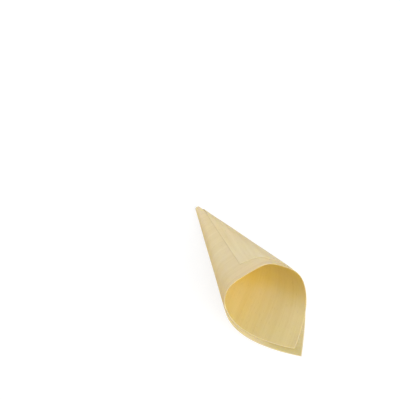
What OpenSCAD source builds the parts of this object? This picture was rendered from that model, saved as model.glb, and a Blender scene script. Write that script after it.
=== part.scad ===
// A serving cone for finger food, rolled from one oblong sheet of thin veneer.
// The sheet makes about two turns round a point just outside the middle of its
// near long edge. Two of its corners meet in a pointed lip, and the outer end
// lies over the back of the cone. The cone lies on its side, lip down, with the
// mouth towards -Y, the tip towards +Y and the lowest line of the wall on Z = 0.

/* [Sheet] */
// Length of the flat sheet, along the grain
sheet_length = 242; // [228:1:256]
// Height of the flat sheet, across the grain
sheet_height = 130; // [122:1:140]
// Thickness of the veneer
veneer = 0.5; // [0.4:0.05:0.8]
// Angle by which both cut ends lean from square
end_skew = 4; // [0:0.5:6]

/* [Roll] */
// Angle between the cone's axis and its wall, before the wall is pressed out of round
half_angle = 13.1; // [12.5:0.1:14]
// Distance from the cone's point to the near edge, which leaves the tip blunt
tip_offset = 4; // [3:0.5:8]
// How much farther the outer lip reaches along the far edge than the inner lip
end_lead = 12.5; // [2:0.5:16]
// Gap between neighbouring turns at the tip
tip_gap = 0.1; // [0.08:0.01:0.3]
// Gap between neighbouring turns at the mouth
mouth_gap = 0.2; // [0.1:0.05:0.8]

/* [Mouth] */
// Part of the half angle that the oval mouth adds on its wide side
oval_share = 0.08; // [0:0.01:0.12]
// Turn of the oval's wide side from straight down
oval_turn = 78; // [50:1:90]
// Turn of the flat stretch in the upper left of the wall from straight down
left_flat_turn = -167; // [-175:1:-150]
// Part of the half angle at which the left flat lies
left_flat_share = 0.81; // [0.8:0.01:1]
// Turn of the flat stretch in the upper right of the wall from straight down
right_flat_turn = 143; // [125:1:160]
// Part of the half angle at which the right flat lies
right_flat_share = 0.9; // [0.85:0.01:1]
// Sharpness of the bends beside the flats
bend_power = 12; // [8:1:20]

/* [Rest] */
// Turn of the outer lip corner from straight down
lip_turn = 15; // [5:1:25]

/* [Hidden] */

// Angle of the sheet between neighbouring lines of the wall
line_step = 0.8;
// Turn of the cone between neighbouring entries of the roll
turn_step = 2;

// Far edge of the flat sheet and its two lip corners, measured from the cone's point
far_edge = tip_offset + sheet_height;
inner_lip_x = (sheet_length - end_lead) / 2;
outer_lip_x = -(sheet_length + end_lead) / 2;

// How far the corners on the near edge lie along the sheet from the lip corners
foot_shift = sheet_height * tan(end_skew);

// Directions of the sheet's four corners, seen from the cone's point
inner_foot = atan2(tip_offset, inner_lip_x + foot_shift);
inner_lip = atan2(far_edge, inner_lip_x);
outer_lip = atan2(far_edge, outer_lip_x);
outer_foot = atan2(tip_offset, outer_lip_x + foot_shift);

// Share of the half angle that the oval has at a turn
function oval_share_at(turn) = 1 + oval_share * cos(2 * (turn - oval_turn));

// How far the wall would stand past a flat, raised to the power of the bends
function past_flat(turn, flat_turn, flat_share) =
    pow(max(cos(turn - flat_turn), 0) / flat_share, bend_power);

// Angle between the axis and the wall, an oval that bends into two flats
function slope(turn) =
    half_angle / pow(
        pow(1 / oval_share_at(turn), bend_power)
            + past_flat(turn, left_flat_turn, left_flat_share)
            + past_flat(turn, right_flat_turn, right_flat_share),
        1 / bend_power
    );

// Mean of that angle over a whole turn
slopes = [for (turn = [0 : turn_step : 360 - turn_step]) slope(turn)];
mean_angle = slopes * [for (each_slope = slopes) 1] / len(slopes);

// Turns that lie inside the outer lip corner
turns_inside = (outer_lip - inner_foot) / (360 * sin(mean_angle));

// Mean distance of the sheet from the cone's point
mean_reach_share = 0.75;
mean_reach = far_edge * mean_reach_share;

// How far apart neighbouring turns are at a distance from the point
function pitch(reach) = veneer + tip_gap + (mouth_gap - tip_gap) * reach / far_edge;

// Number of turns under the wall at a turn of the roll
function turns_under(turn) = turns_inside + (turn - lip_turn) / 360;

// Direction of the line from the cone's point along the wall
function ray(turn) =
    let (angle = slope(turn))
    [sin(angle) * sin(turn), -cos(angle), -sin(angle) * cos(turn)];

// Direction that the wall faces on its outside
function outward(turn) =
    let (facing = cross(ray(turn + turn_step), ray(turn - turn_step)))
    facing / norm(facing);

// Sheet angle that one step of the roll takes up, more on the outer turns
function taken(turn) =
    let (layer = turns_under(turn) * pitch(mean_reach) + veneer / 2)
    acos(ray(turn) * ray(turn + turn_step)) * (1 + layer / (mean_reach * sin(mean_angle)));

// The roll, as pairs of a sheet angle and the turn where it comes to lie
roll_out = [
    for (turn = lip_turn, angle = outer_lip; angle < outer_foot + turn_step;
        angle = angle + taken(turn), turn = turn + turn_step)
    [angle, turn]
];
roll_in = [
    for (turn = lip_turn, angle = outer_lip; angle > inner_foot - turn_step;
        turn = turn - turn_step, angle = angle - taken(turn))
    [angle, turn]
];
roll = concat(roll_in, roll_out);

// Directions of the sheet's lines, with one at each corner
function spread(from, to) =
    let (count = ceil((to - from) / line_step))
    [for (i = [0 : count - 1]) from + (to - from) * i / count];
lines = concat(
    spread(inner_foot, inner_lip),
    spread(inner_lip, outer_lip),
    spread(outer_lip, outer_foot),
    [outer_foot]
);
last = len(lines) - 1;

// Where a line of the sheet meets the cut end that starts at a lip corner
function end_reach(angle, lip_x) =
    (lip_x * cos(end_skew) + far_edge * sin(end_skew)) / cos(angle - end_skew);

// Where a line of the sheet starts and ends
function near_reach(angle) = tip_offset / sin(angle);
function far_reach(angle) =
    angle < inner_lip ? end_reach(angle, inner_lip_x)
    : angle > outer_lip ? end_reach(angle, outer_lip_x)
    : far_edge / sin(angle);

// A point of the rolled sheet, at a depth from its inner face
function rolled(angle, reach, depth) =
    let (turn = lookup(angle, roll))
    reach * ray(turn) + (turns_under(turn) * pitch(reach) + depth) * outward(turn);

// Angle that brings the lowest line of the wall level
tilt = max([
    for (i = [1 : last - 1])
    let (
        angle = lines[i],
        along = rolled(angle, far_reach(angle), veneer) - rolled(angle, near_reach(angle), veneer)
    )
    atan2(-along.z, -along.y)
]);

// The cone laid down, still about its point
function laid(point) = [
    point.x,
    point.y * cos(tilt) + point.z * sin(tilt),
    point.z * cos(tilt) - point.y * sin(tilt)
];

// Inner and outer face at both ends of each line. The end lines are single corners.
points = [
    for (i = [0 : last], depth = [0, veneer], at_far = [0, 1])
    if (at_far == 0 || (i > 0 && i < last))
    let (angle = lines[i])
    laid(rolled(angle, at_far == 1 ? far_reach(angle) : near_reach(angle), depth))
];

// Place of a point in the list
function place(i, face, at_far) =
    i == 0 ? face
    : i == last ? 4 * last - 2 + face
    : 4 * i - 2 + 2 * face + at_far;

// Two triangles over four corners
function patch(a, b, c, d) = [[a, b, c], [a, c, d]];

// Both faces of the sheet and its near and far edges, strip by strip
strips = [
    for (i = [0 : last - 1])
    each concat(
        patch(place(i, 0, 0), place(i + 1, 0, 0), place(i + 1, 0, 1), place(i, 0, 1)),
        patch(place(i, 1, 0), place(i, 1, 1), place(i + 1, 1, 1), place(i + 1, 1, 0)),
        patch(place(i, 0, 0), place(i, 1, 0), place(i + 1, 1, 0), place(i + 1, 0, 0)),
        patch(place(i, 0, 1), place(i + 1, 0, 1), place(i + 1, 1, 1), place(i, 1, 1))
    )
];

// The patches at the corners lose the triangle that has no width.
faces = [
    for (face = strips)
    if (face[0] != face[1] && face[1] != face[2] && face[2] != face[0]) face
];

// Corners of the box round the cone
low = [for (axis = [0 : 2]) min([for (point = points) point[axis]])];
high = [for (axis = [0 : 2]) max([for (point = points) point[axis]])];

// The whole sheet as one closed solid, over the middle of its place on the table
module rolled_cone() {
    color("burlywood")
        translate([-(low.x + high.x) / 2, -(low.y + high.y) / 2, -low.z])
        polyhedron(points = points, faces = faces, convexity = 8);
}

rolled_cone();
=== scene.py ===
"""A serving cone rolled from one sheet of wood veneer, lying on a white table."""

import math

import bpy
import numpy as np
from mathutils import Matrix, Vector, noise


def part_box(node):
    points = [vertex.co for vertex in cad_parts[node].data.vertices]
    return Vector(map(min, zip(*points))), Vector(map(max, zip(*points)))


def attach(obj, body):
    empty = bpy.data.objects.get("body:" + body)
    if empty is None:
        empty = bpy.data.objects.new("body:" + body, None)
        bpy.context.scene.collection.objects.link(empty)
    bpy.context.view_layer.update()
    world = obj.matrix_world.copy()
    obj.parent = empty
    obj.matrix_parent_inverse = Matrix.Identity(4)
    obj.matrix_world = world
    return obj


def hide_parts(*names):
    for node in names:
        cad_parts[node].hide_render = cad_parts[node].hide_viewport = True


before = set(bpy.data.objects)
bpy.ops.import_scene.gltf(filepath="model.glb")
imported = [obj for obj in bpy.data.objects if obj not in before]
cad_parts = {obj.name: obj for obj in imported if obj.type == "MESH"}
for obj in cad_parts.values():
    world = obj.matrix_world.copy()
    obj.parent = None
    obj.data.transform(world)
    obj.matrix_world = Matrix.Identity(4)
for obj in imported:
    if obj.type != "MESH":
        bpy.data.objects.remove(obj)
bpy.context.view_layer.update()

MM = 0.001
TURN = 2 * math.pi
WHITE = "#FFFFFF"

# The flat sheet of veneer
SHEET_LENGTH = 242 * MM
SHEET_HEIGHT = 130 * MM
VENEER = 0.5 * MM
END_SKEW = math.radians(4)

# How it is rolled
HALF_ANGLE = math.radians(13.1)
TIP_OFFSET = 4 * MM
END_LEAD = 12.5 * MM
TIP_GAP = 0.1 * MM
MOUTH_GAP = 0.2 * MM
LIP_TURN = math.radians(15)
MEAN_REACH_SHARE = 0.75

# The mouth, an oval that bends into two flats
OVAL_SHARE = 0.08
OVAL_TURN = math.radians(78)
FLAT_TURNS = (math.radians(-167), math.radians(143))
FLAT_SHARES = (0.81, 0.9)
BEND_POWER = 12

# The finish of the sheet's edges and its slight unevenness
EDGE_ROUND = 0.08 * MM
CORNER_BLUNT = 0.3 * MM
WAVE_HEIGHT = 0.22 * MM
WAVE_LENGTH = 34 * MM
WAVE_FADE = 8 * MM

# How the glued outer end is pressed onto the turn under it
PRESS_WIDTH = 14 * MM
PRESS_GAP = 0.03 * MM

# How the free inner end stands off the turn round it at the lip
LIFT_HEIGHT = 0.8 * MM
LIFT_WIDTH = 22 * MM
LIFT_POWER = 6

# How the inner end bows out between its corners
END_BOW = 2.4 * MM
BOW_POWER = 0.5

# How finely the sheet is divided, with three faces round each cut edge
LINE_STEP = math.radians(0.4)
ROLL_STEP = math.radians(0.5)
ROWS = 28
EDGE_FACES = 3
SHARP_EDGE = math.radians(30)
MAP_MARGIN = 1 * MM

# The sheet's finishes, in the order of its material slots
INNER_SLOT, OUTER_SLOT, EDGE_SLOT = range(3)

# Length, width and fineness of the marks in the wood
FIBRE = (25 * MM, 0.5 * MM, 2)
STREAK = (70 * MM, 1.8 * MM, 2)
BAND = (170 * MM, 9 * MM, 1)
PORE = (5 * MM, 0.5 * MM, 0)
FIBRE_SHARE = 0.4
BAND_SHARE = 0.4
GRAIN_SHARES = (0.65, 0.35)
GRAIN_TINT = "#F6F3E9"
PORE_SHARES = (0.7, 0.8)
PORE_DARK_SHARE = 0.18
PORE_TONE = "#9C7B45"

# Where the sheet's tone changes: the point side across the grain from the cone's point, the rest from its
# ends
POINT_SIDE_END = 76 * MM
MARGIN_START = 122 * MM
POINT_SIDE_WANDER = 24 * MM
# Where the golden painted shade lies along the shaded upper side of the mouth, measured from the inner end
PAINTED_SHADE_MIDDLE = 95 * MM
PAINTED_SHADE_HALF = 33 * MM
PAINTED_SHADE_END = 51 * MM
PALE_START = 150 * MM
PALE_FULL = 110 * MM
END_STRIP_START = 48 * MM
END_STRIP_FULL = 20 * MM

# Tones of the sheet's two faces and of its cut edges
INNER_TONES = {
    # Golden towards the cone's point and paler towards the mouth: painted shade of the light bounced deep
    # inside the cone
    "margin": "#E0D09A",
    "point_side": "#E3CC82",
    # Painted shade, a golden tint multiplied in along the shaded upper side of the mouth
    "painted_shade": "#FFF9CE",
    "pale": "#E7DAAF",
    "end_strip": "#D5C690",
}
OUTER_TONES = {
    "margin": "#E5D4AD",
    "point_side": "#E4D2A7",
    "painted_shade": WHITE,
    "pale": "#E5D4AD",
    "end_strip": "#E7D8B3",
}
EDGE_TONES = {
    # Darker along the rim as painted shade where it faces down, lighter towards the cone's point as painted
    # light that evens out the near edge's dark line
    "margin": "#CFBF93",
    "point_side": "#ECE1BE",
    "painted_shade": WHITE,
    "pale": "#CFBF93",
    # Lighter along the glued end: painted light that evens out its dark line
    "end_strip": "#DDCFA6",
}

# Soft patches: distance along the far edge from the inner lip corner, inset from it, reach and tone
INNER_PATCHES = {
    # Painted light: lighter on the right wall near the rim by the inner end, where it faces the light
    "painted_light_right": (35 * MM, 0, 34 * MM, "#EBDBA8"),
    # Painted shade: golden on the upper right wall, in the shade of the mouth
    "golden": (58 * MM, 14 * MM, 26 * MM, "#DFC87F"),
    # Painted light: lighter where the strip along the outer end turns up to the light
    "dry": (237 * MM, 28 * MM, 25 * MM, "#DDD1A8"),
}
OUTER_PATCHES = {
    "weathered": (150 * MM, 50 * MM, 40 * MM, "#E8DBB7"),
}

# The pale line along the cuts, a painted highlight where a cut edge catches light, and how much of it shows
CUT_LINE = 1.0 * MM
CUT_TONE = "#F0E4C2"
INNER_CUT_SHARE = 0.6
OUTER_CUT_SHARE = 0.05
EDGE_CUT_SHARE = 0.0

# The surface of the dry wood
ROUGH_SHARES = (0.82, 0.68)
FIBRE_DEPTH = 0.05 * MM
FIBRE_BUMP_SHARE = 0.3
WOOD_IOR = 1.5
WOOD_GLOSS_SHARE = 0.15

# How light passes through the thin wood
GLOW_SHARE = 0.5
EDGE_GLOW_SHARE = 0.1
GLOW_SHARES = (1.0, 0.85, 0.2)
GLOW_DEPTH = 0.7 * MM

# Sockets of the mix node: numbers and tones that go in, and the tone that comes out
NUMBER_A, NUMBER_B = 2, 3
TONE_A, TONE_B = 6, 7
TONE_OUT = 2

# The table, with the tone of the light it throws back and how it looks to the camera
TABLE_HALF = 1000 * MM
TABLE_TONE = "#E8CF8A"
TABLE_SEEN_TONE = "#8A8A8A"
TABLE_GLOW_SHARE = 0.78

# The sky, and lamps by the turn and height in degrees at which they stand, and their power in watts
SKY_SHARE = 0.24
LAMP_DISTANCE = 1100 * MM
LAMP_WIDTH = 900 * MM
LAMP_HEIGHT = 400 * MM
LAMPS = {
    "front": (7, 33, 13.6),
    "back": (180, 25, 6.3),
    "side": (-140, 40, 3.1),
}

# The camera of the photograph, with its sensor and lens in the camera's own millimetres
VIEW_TURN = math.radians(-24.99)
VIEW_HEIGHT = math.radians(49.15)
VIEW_DISTANCE = 938.8 * MM
VIEW_AIM = Vector((6.65 * MM, 100.2 * MM, 0))
SENSOR = 36
LENS = 90

# Edges of the flat sheet, measured from the cone's point
far_edge = TIP_OFFSET + SHEET_HEIGHT
inner_lip_x = (SHEET_LENGTH - END_LEAD) / 2
outer_lip_x = -(SHEET_LENGTH + END_LEAD) / 2
foot_shift = SHEET_HEIGHT * math.tan(END_SKEW)
inner_end = inner_lip_x * math.cos(END_SKEW) + far_edge * math.sin(END_SKEW)
outer_end = -outer_lip_x * math.cos(END_SKEW) - far_edge * math.sin(END_SKEW)
mean_reach = far_edge * MEAN_REACH_SHARE

# Directions of the sheet's corners, seen from the cone's point
inner_foot = math.atan2(TIP_OFFSET, inner_lip_x + foot_shift)
inner_lip = math.atan2(far_edge, inner_lip_x)
outer_lip = math.atan2(far_edge, outer_lip_x)


def slope(turn):
    """Angle between the axis and the wall."""
    oval = 1 + OVAL_SHARE * np.cos(2 * (turn - OVAL_TURN))
    total = oval ** -BEND_POWER
    for flat_turn, flat_share in zip(FLAT_TURNS, FLAT_SHARES):
        total = total + (np.maximum(np.cos(turn - flat_turn), 0) / flat_share) ** BEND_POWER
    return HALF_ANGLE / total ** (1 / BEND_POWER)


mean_angle = slope(np.arange(0, TURN, ROLL_STEP)).mean()
turns_inside = (outer_lip - inner_foot) / (TURN * math.sin(mean_angle))


def pitch(reach):
    """How far apart neighbouring turns are at a distance from the point."""
    return VENEER + TIP_GAP + (MOUTH_GAP - TIP_GAP) * reach / far_edge


def turns_under(turn):
    """Number of turns under the wall at a turn of the roll."""
    return turns_inside + (turn - LIP_TURN) / TURN


def ray(turn):
    """Direction of the line from the cone's point along the wall."""
    angle = slope(turn)
    side = np.sin(angle)
    return np.stack((side * np.sin(turn), -np.cos(angle), -side * np.cos(turn)), -1)


def outward(turn):
    """Direction that the wall faces on its outside."""
    facing = np.cross(ray(turn + ROLL_STEP), ray(turn - ROLL_STEP))
    return facing / np.linalg.norm(facing, axis=-1, keepdims=True)


def roll_table():
    """Sheet angles, and the turns where they come to lie."""
    turns = np.arange(LIP_TURN - 2 * TURN, LIP_TURN + TURN, ROLL_STEP)
    steps = np.arccos(np.sum(ray(turns) * ray(turns + ROLL_STEP), -1))
    layers = np.maximum(turns_under(turns), 0) * pitch(mean_reach) + VENEER / 2
    taken = steps * (1 + layers / (mean_reach * math.sin(mean_angle)))
    angles = np.concatenate(((0,), np.cumsum(taken)[:-1]))
    return angles + outer_lip - np.interp(LIP_TURN, turns, angles), turns


roll_angles, roll_turns = roll_table()


def rolled(angle, reach, depth):
    """Points of the rolled sheet, at a depth from its inner face, about the cone's point."""
    turn = np.interp(angle, roll_angles, roll_turns)
    layer = turns_under(turn) * pitch(reach) + depth
    return reach[..., None] * ray(turn) + layer[..., None] * outward(turn)


def pressed(angle, reach):
    """How far the glued outer end sinks onto the turn under it."""
    inset = outer_end + reach * np.cos(angle - END_SKEW)
    share = np.clip(1 - inset / PRESS_WIDTH, 0, 1)
    gap = pitch(reach) - VENEER - PRESS_GAP
    return gap * share * share * (3 - 2 * share)


def lifted(angle, reach):
    """How far the free inner end stands off the turn round it, most at the lip."""
    inset = inner_end - reach * np.cos(angle - END_SKEW)
    share = np.clip(1 - inset / LIFT_WIDTH, 0, 1)
    lip_reach = far_edge / math.sin(inner_lip)
    return LIFT_HEIGHT * share * share * (reach / lip_reach) ** LIFT_POWER


def bowed(angle):
    """How far the inner end stands past a straight line between its corners."""
    share = np.clip((angle - inner_foot) / (inner_lip - inner_foot), 0, 1)
    return END_BOW * np.sin(math.pi * share) ** BOW_POWER


def near_reach(angle, inset):
    """Where a line of the sheet starts."""
    return (TIP_OFFSET + inset) / np.sin(angle)


def far_reach(angle, inset):
    """Where a line of the sheet ends, on the inner end, the far edge or the outer end."""
    lean = np.cos(angle - END_SKEW)
    least = np.finfo(float).eps
    start = (inner_end + bowed(angle) - inset) / np.maximum(lean, least)
    end = (outer_end - inset) / np.maximum(-lean, least)
    return np.minimum(np.minimum(start, end), (far_edge - inset) / np.sin(angle))


def spread(first, last):
    """Sheet angles from one corner to just before the next."""
    count = math.ceil((last - first) / LINE_STEP)
    return first + (last - first) * np.arange(count) / count


def sheet_lines():
    """Sheet angles of all lines, with one at each lip corner and blunt corners at the near edge."""
    blunt = CORNER_BLUNT + 2 * EDGE_ROUND
    first = math.atan2(TIP_OFFSET + EDGE_ROUND, inner_lip_x + foot_shift - blunt)
    last = math.atan2(TIP_OFFSET + EDGE_ROUND, outer_lip_x + foot_shift + blunt)
    runs = (spread(first, inner_lip), spread(inner_lip, outer_lip), spread(outer_lip, last), (last,))
    return np.concatenate(runs)


def laid(points):
    """The cone on its side, with its lowest line level."""
    angle = sheet_lines()[1:-1]
    face = np.full_like(angle, VENEER)
    along = rolled(angle, far_reach(angle, 0), face) - rolled(angle, near_reach(angle, 0), face)
    tilt = np.max(np.arctan2(-along[:, 2], -along[:, 1]))
    x, y, z = points[..., 0], points[..., 1], points[..., 2]
    cosine, sine = np.cos(tilt), np.sin(tilt)
    return np.stack((x, y * cosine + z * sine, z * cosine - y * sine), -1)


def seated(points):
    """The laid cone moved to the middle of its place in the frame."""
    low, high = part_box("rolled_cone")
    flat = points.reshape(-1, 3)
    own_low, own_high = flat.min(0), flat.max(0)
    place = np.array(((low.x + high.x) / 2, (low.y + high.y) / 2, low.z))
    own = np.array(((own_low[0] + own_high[0]) / 2, (own_low[1] + own_high[1]) / 2, own_low[2]))
    return points - own + place


def uneven(points, normals):
    """The slight waves of dry veneer, the same through all turns and none where it rests."""
    flat = points.reshape(-1, 3)
    heights = np.array([noise.noise(Vector(point) / WAVE_LENGTH) for point in flat])
    fade = np.clip(flat[:, 2] / WAVE_FADE, 0, 1)
    return points + (heights * fade * WAVE_HEIGHT).reshape(points.shape[:-1])[..., None] * normals


def loop_of_line(angle):
    """Reaches and depths round the section of each line: inner face, far edge, outer face, near edge."""
    shares = np.linspace(0, 1, ROWS + 1)
    near_face, far_face = near_reach(angle, EDGE_ROUND), far_reach(angle, EDGE_ROUND)
    near_wall, far_wall = near_reach(angle, 0), far_reach(angle, 0)
    face = near_face[:, None] + (far_face - near_face)[:, None] * shares
    runs = (face, np.stack((far_wall, far_wall), 1), face[:, ::-1], np.stack((near_wall, near_wall), 1))
    reach = np.concatenate(runs, 1)
    wall = np.array((EDGE_ROUND, VENEER - EDGE_ROUND))
    depth = np.concatenate((np.zeros(ROWS + 1), wall, np.full(ROWS + 1, VENEER), wall[::-1]))
    return reach, np.broadcast_to(depth, reach.shape)


def flat_places(angle, reach, depth):
    """Places on the flat sheet, with its bow eased out so that the inner end is straight there."""
    eased = bowed(angle) * reach / reach.max(1, keepdims=True)
    return np.stack((reach * np.cos(angle) - eased, reach * np.sin(angle), depth), -1)


def flat_maps(angle, reach, depth):
    """The inner face laid flat, and the outer face with its edges folded out, on two halves of a square."""
    span = 2 * (SHEET_HEIGHT + 2 * MAP_MARGIN)
    middle = (reach.min(1, keepdims=True) + reach.max(1, keepdims=True)) / 2
    folded = reach + np.sign(reach - middle) * (VENEER - depth)
    maps = []
    for half, out in enumerate((reach, folded)):
        along = out * np.cos(angle) - outer_lip_x + MAP_MARGIN
        across = out * np.sin(angle) - TIP_OFFSET + MAP_MARGIN + half * span / 2
        maps.append(np.stack((along, across), -1) / span)
    return maps


def strip_slot(place):
    """Finish of the faces that start at a place round the section."""
    if place < ROWS:
        return INNER_SLOT
    if ROWS + EDGE_FACES <= place < 2 * ROWS + EDGE_FACES:
        return OUTER_SLOT
    return EDGE_SLOT


def sheet_faces(lines, around):
    """Faces of the closed sheet, each with its finish and its corners by line and place round it."""
    faces = []
    for line in range(lines - 1):
        for place in range(around):
            after = (place + 1) % around
            corners = ((line, place), (line + 1, place), (line + 1, after), (line, after))
            faces.append((strip_slot(place), corners))
    faces.append((EDGE_SLOT, [(0, place) for place in range(around)]))
    faces.append((EDGE_SLOT, [(lines - 1, place) for place in reversed(range(around))]))
    return faces


def veneer_cone(finishes):
    """The rolled sheet as one closed mesh, with its inner face, outer face and cut edges."""
    angle = sheet_lines()
    reach, depth = loop_of_line(angle)
    angles = np.broadcast_to(angle[:, None], reach.shape)
    turn = np.interp(angles, roll_angles, roll_turns)
    moved = depth - pressed(angles, reach) - lifted(angles, reach)
    points = seated(laid(rolled(angles, reach, moved)))
    points = uneven(points, laid(outward(turn)))

    index = np.arange(reach.size).reshape(reach.shape)
    inner_map, outer_map = flat_maps(angles, reach, depth)
    faces, slots, spots = [], [], []
    for slot, corners in sheet_faces(*reach.shape):
        spot = inner_map if slot == INNER_SLOT else outer_map
        faces.append([int(index[corner]) for corner in corners])
        spots += [spot[corner] for corner in corners]
        slots.append(slot)

    mesh = bpy.data.meshes.new("veneer_cone")
    mesh.from_pydata(points.reshape(-1, 3).tolist(), [], faces)
    flat_map = mesh.uv_layers.new(name="OFBake")
    flat_map.data.foreach_set("uv", np.array(spots, np.float32).ravel())
    sheet = mesh.attributes.new("sheet", "FLOAT_VECTOR", "POINT")
    sheet.data.foreach_set("vector", flat_places(angles, reach, depth).astype(np.float32).ravel())
    for finish in finishes:
        mesh.materials.append(finish)
    mesh.polygons.foreach_set("material_index", slots)
    mesh.polygons.foreach_set("use_smooth", [True] * len(faces))
    mesh.set_sharp_from_angle(angle=SHARP_EDGE)
    mesh.update()
    cone = bpy.data.objects.new("veneer_cone", mesh)
    bpy.context.collection.objects.link(cone)
    return cone


def linear(code):
    """An sRGB hex colour as linear red, green, blue and alpha."""
    parts = [int(code[i:i + 2], 16) / 255 for i in (1, 3, 5)]
    return tuple(c / 12.92 if c <= 0.04045 else ((c + 0.055) / 1.055) ** 2.4 for c in parts) + (1.0,)


def add(tree, kind, inputs, **settings):
    """Adds a node with its settings, and sets or links its inputs."""
    made = tree.nodes.new(kind)
    for name, value in settings.items():
        setattr(made, name, value)
    for name, value in inputs.items():
        if isinstance(value, bpy.types.NodeSocket):
            tree.links.new(value, made.inputs[name])
        else:
            made.inputs[name].default_value = value
    return made


def marks(tree, place, kind):
    """A noise drawn out into marks along the grain."""
    along, across, fineness = kind
    per_mark = (1 / along, 1 / across, 1 / across)
    at = add(tree, "ShaderNodeVectorMath", {0: place, 1: per_mark}, operation="MULTIPLY").outputs[0]
    return add(tree, "ShaderNodeTexNoise", {"Vector": at, "Scale": 1, "Detail": fineness}).outputs["Fac"]


def sheet_distances(tree, place):
    """How far a place on the flat sheet lies from the cone's point across the grain, and from each cut."""
    across = add(tree, "ShaderNodeSeparateXYZ", {0: place}).outputs["Y"]
    facing = (math.cos(END_SKEW), math.sin(END_SKEW), 0)
    along = add(tree, "ShaderNodeVectorMath", {
        0: place, 1: facing}, operation="DOT_PRODUCT").outputs["Value"]
    cuts = {
        "inner": add(tree, "ShaderNodeMath", {0: inner_end, 1: along}, operation="SUBTRACT").outputs[0],
        "outer": add(tree, "ShaderNodeMath", {0: along, 1: outer_end}, operation="ADD").outputs[0],
        "far": add(tree, "ShaderNodeMath", {0: far_edge, 1: across}, operation="SUBTRACT").outputs[0],
        "near": add(tree, "ShaderNodeMath", {0: across, 1: TIP_OFFSET}, operation="SUBTRACT").outputs[0],
    }
    return across, cuts


def straw_tone(tree, place, band, across, cuts, tones, patches):
    """The tone of the sheet and how it changes over the sheet, before the grain."""
    # A tone towards the cone's point, with an edge that the bands make uneven: golden painted shade on the
    # inside, lighter painted light on the cut edges
    wander = add(tree, "ShaderNodeMath", {
        0: band, 1: POINT_SIDE_WANDER, 2: across}, operation="MULTIPLY_ADD").outputs[0]
    golden = add(tree, "ShaderNodeMapRange", {
        "Value": wander, "From Min": MARGIN_START, "From Max": POINT_SIDE_END},
        interpolation_type="SMOOTHSTEP").outputs[0]
    tone = add(tree, "ShaderNodeMix", {
        0: golden, TONE_A: linear(tones["margin"]), TONE_B: linear(tones["point_side"])},
        data_type="RGBA").outputs[TONE_OUT]

    # A golden tint of painted shade along the shaded upper side of the mouth
    beside = add(tree, "ShaderNodeMath", {0: cuts["inner"], 1: PAINTED_SHADE_MIDDLE}, operation="SUBTRACT").outputs[0]
    off_middle = add(tree, "ShaderNodeMath", {0: beside}, operation="ABSOLUTE").outputs[0]
    shaded = add(tree, "ShaderNodeMapRange", {
        "Value": off_middle, "From Min": PAINTED_SHADE_END, "From Max": PAINTED_SHADE_HALF},
        interpolation_type="SMOOTHSTEP").outputs[0]
    tone = add(tree, "ShaderNodeMix", {
        0: shaded, TONE_A: tone, TONE_B: linear(tones["painted_shade"])},
        data_type="RGBA", blend_type="MULTIPLY").outputs[TONE_OUT]

    # Paler towards the outer end, and a strip of other tone along it: greyer on the inside, slightly lighter
    # on the outside, and lighter on the cut edges as painted light that evens out the dark line at the glued
    # end
    stretches = ((tones["pale"], PALE_START, PALE_FULL), (tones["end_strip"], END_STRIP_START, END_STRIP_FULL))
    for stretch_tone, start, full in stretches:
        stretch = add(tree, "ShaderNodeMapRange", {
            "Value": cuts["outer"], "From Min": start, "From Max": full},
            interpolation_type="SMOOTHSTEP").outputs[0]
        tone = add(tree, "ShaderNodeMix", {
            0: stretch, TONE_A: tone, TONE_B: linear(stretch_tone)}, data_type="RGBA").outputs[TONE_OUT]

    # Soft patches of other tone; on the inside they are painted light and painted shade
    for lead, inset, reach, patch_tone in patches.values():
        middle = (inner_lip_x - lead, far_edge - inset, 0)
        away = add(tree, "ShaderNodeVectorMath", {
            0: place, 1: middle}, operation="DISTANCE").outputs["Value"]
        patch = add(tree, "ShaderNodeMapRange", {
            "Value": away, "From Min": reach, "From Max": 0}, interpolation_type="SMOOTHSTEP").outputs[0]
        tone = add(tree, "ShaderNodeMix", {
            0: patch, TONE_A: tone, TONE_B: linear(patch_tone)}, data_type="RGBA").outputs[TONE_OUT]
    return tone


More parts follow.
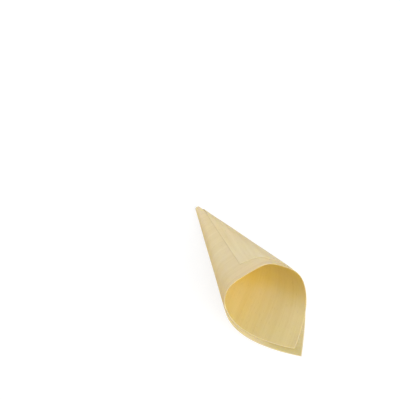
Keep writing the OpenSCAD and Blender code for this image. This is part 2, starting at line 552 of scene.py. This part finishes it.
def peeled_veneer(name, tones, patches, cut_share, glow_share):
    """Poplar peeled from a turning log, dry and matt.

    It gives the eye a pale straw tone with long straight fibres, soft streaks and bands along the grain,
    a tone that changes towards the cone's point, a paler stretch and a strip of other tone along the outer
    end, a few soft patches, short fine pores and a pale line along each cut. On the inside, the golden tone
    towards the point and along the shaded upper side of the mouth is painted shade, the patches are painted
    light and painted shade, and the pale cut line is a painted highlight; on the cut edges, the lighter tone
    near the point and along the glued end is painted light and the darker rim painted shade. The fibres of
    real poplar are finer than a pixel, so they are drawn half a millimetre wide.
    """
    finish = bpy.data.materials.new(name)
    finish.use_nodes = True
    tree = finish.node_tree
    tree.nodes.clear()
    place = add(tree, "ShaderNodeAttribute", {}, attribute_name="sheet").outputs["Vector"]
    fibre = marks(tree, place, FIBRE)
    streak = marks(tree, place, STREAK)
    band = marks(tree, place, BAND)
    pore = marks(tree, place, PORE)
    across, cuts = sheet_distances(tree, place)
    tone = straw_tone(tree, place, band, across, cuts, tones, patches)

    # Fibres, streaks and bands along the grain
    fine = add(tree, "ShaderNodeMix", {0: FIBRE_SHARE, NUMBER_A: streak, NUMBER_B: fibre}).outputs[0]
    both = add(tree, "ShaderNodeMix", {0: BAND_SHARE, NUMBER_A: fine, NUMBER_B: band}).outputs[0]
    grain = add(tree, "ShaderNodeMapRange", {
        "Value": both, "From Min": GRAIN_SHARES[0], "From Max": GRAIN_SHARES[1]}).outputs[0]
    tone = add(tree, "ShaderNodeMix", {
        0: grain, TONE_A: tone, TONE_B: linear(GRAIN_TINT)},
        data_type="RGBA", blend_type="MULTIPLY").outputs[TONE_OUT]

    # The pale line along each cut, a painted highlight where the cut edge catches light
    from_cut = cuts["inner"]
    for edge in ("outer", "far", "near"):
        from_cut = add(tree, "ShaderNodeMath", {0: from_cut, 1: cuts[edge]}, operation="MINIMUM").outputs[0]
    cut_highlight = add(tree, "ShaderNodeMapRange", {
        "Value": from_cut, "From Min": CUT_LINE, "From Max": 0, "To Max": cut_share}).outputs[0]
    tone = add(tree, "ShaderNodeMix", {
        0: cut_highlight, TONE_A: tone, TONE_B: linear(CUT_TONE)}, data_type="RGBA").outputs[TONE_OUT]

    # Short dark pores
    open_pore = add(tree, "ShaderNodeMapRange", {
        "Value": pore, "From Min": PORE_SHARES[0], "From Max": PORE_SHARES[1],
        "To Max": PORE_DARK_SHARE}).outputs[0]
    tone = add(tree, "ShaderNodeMix", {
        0: open_pore, TONE_A: tone, TONE_B: linear(PORE_TONE)}, data_type="RGBA").outputs[TONE_OUT]

    # A matt surface with raised fibres that lets some light through
    rough = add(tree, "ShaderNodeMapRange", {
        "Value": fine, "To Min": ROUGH_SHARES[0], "To Max": ROUGH_SHARES[1]}).outputs[0]
    raised = add(tree, "ShaderNodeBump", {
        "Height": fibre, "Strength": FIBRE_BUMP_SHARE, "Distance": FIBRE_DEPTH}).outputs[0]
    shader = add(tree, "ShaderNodeBsdfPrincipled", {
        "Base Color": tone, "Normal": raised, "Roughness": rough,
        "IOR": WOOD_IOR, "Specular IOR Level": WOOD_GLOSS_SHARE,
        "Subsurface Weight": glow_share, "Subsurface Radius": GLOW_SHARES, "Subsurface Scale": GLOW_DEPTH})
    add(tree, "ShaderNodeOutputMaterial", {"Surface": shader.outputs[0]})
    return finish


def seen(tree):
    """One for rays from the camera, a mirror or glass, and zero for the rest."""
    path = add(tree, "ShaderNodeLightPath", {}).outputs
    either = add(tree, "ShaderNodeMath", {
        0: path["Is Camera Ray"], 1: path["Is Glossy Ray"]}, operation="MAXIMUM").outputs[0]
    return add(tree, "ShaderNodeMath", {
        0: either, 1: path["Is Transmission Ray"]}, operation="MAXIMUM").outputs[0]


def table_white():
    """Matt board that looks plain white with the cone's soft shadow on it, and throws a warm light back."""
    finish = bpy.data.materials.new("table_white")
    finish.use_nodes = True
    tree = finish.node_tree
    tree.nodes.clear()
    board = add(tree, "ShaderNodeBsdfDiffuse", {"Color": linear(TABLE_TONE)})
    shaded = add(tree, "ShaderNodeBsdfDiffuse", {"Color": linear(TABLE_SEEN_TONE)})
    glow = add(tree, "ShaderNodeEmission", {"Color": linear(WHITE), "Strength": TABLE_GLOW_SHARE})
    shown = add(tree, "ShaderNodeAddShader", {0: shaded.outputs[0], 1: glow.outputs[0]})
    mixed = add(tree, "ShaderNodeMixShader", {0: seen(tree), 1: board.outputs[0], 2: shown.outputs[0]})
    add(tree, "ShaderNodeOutputMaterial", {"Surface": mixed.outputs[0]})
    return finish


def table():
    """A wide plain table under the cone."""
    mesh = bpy.data.meshes.new("table")
    corners = [(-TABLE_HALF, -TABLE_HALF, 0), (TABLE_HALF, -TABLE_HALF, 0),
               (TABLE_HALF, TABLE_HALF, 0), (-TABLE_HALF, TABLE_HALF, 0)]
    mesh.from_pydata(corners, [], [(0, 1, 2, 3)])
    mesh.materials.append(table_white())
    board = bpy.data.objects.new("table", mesh)
    bpy.context.collection.objects.link(board)
    return board


def towards(turn, height):
    """Direction from the cone to a place round it, turned and raised from straight in front of the mouth."""
    flat = math.cos(height)
    return Vector((math.sin(turn) * flat, -math.cos(turn) * flat, math.sin(height)))


def aimed(name, data, aim, away, distance):
    """A lamp or camera at a distance from the point that it looks at."""
    made = bpy.data.objects.new(name, data)
    made.location = aim + away * distance
    made.rotation_mode = "QUATERNION"
    made.rotation_quaternion = (-away).to_track_quat("-Z", "Y")
    bpy.context.collection.objects.link(made)
    return made


def lamp(name, turn, height, power):
    """A wide soft lamp that faces the cone."""
    data = bpy.data.lights.new(name, "AREA")
    data.energy = power
    data.shape = "RECTANGLE"
    data.size = LAMP_WIDTH
    data.size_y = LAMP_HEIGHT
    aimed(name, data, Vector(), towards(turn, height), LAMP_DISTANCE)


def sky():
    """Even soft light from all round, seen as plain white."""
    world = bpy.data.worlds.new("studio")
    world.use_nodes = True
    tree = world.node_tree
    tree.nodes.clear()
    power = add(tree, "ShaderNodeMapRange", {"Value": seen(tree), "To Min": SKY_SHARE}).outputs[0]
    back = add(tree, "ShaderNodeBackground", {"Color": linear(WHITE), "Strength": power})
    add(tree, "ShaderNodeOutputWorld", {"Surface": back.outputs[0]})
    bpy.context.scene.world = world


def camera():
    """The photograph's view of the cone."""
    data = bpy.data.cameras.new("camera")
    data.sensor_width = SENSOR
    data.lens = LENS
    view = aimed("camera", data, VIEW_AIM, towards(VIEW_TURN, VIEW_HEIGHT), VIEW_DISTANCE)
    bpy.context.scene.camera = view


cone = veneer_cone((
    peeled_veneer("veneer_inside", INNER_TONES, INNER_PATCHES, INNER_CUT_SHARE, GLOW_SHARE),
    peeled_veneer("veneer_outside", OUTER_TONES, OUTER_PATCHES, OUTER_CUT_SHARE, GLOW_SHARE),
    peeled_veneer("veneer_edges", EDGE_TONES, {}, EDGE_CUT_SHARE, EDGE_GLOW_SHARE),
))
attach(cone, "root")
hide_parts("rolled_cone")

table()
sky()
for name, (turn, height, power) in LAMPS.items():
    lamp(name, math.radians(turn), math.radians(height), power)
camera()

bpy.context.scene.view_settings.view_transform = "Standard"
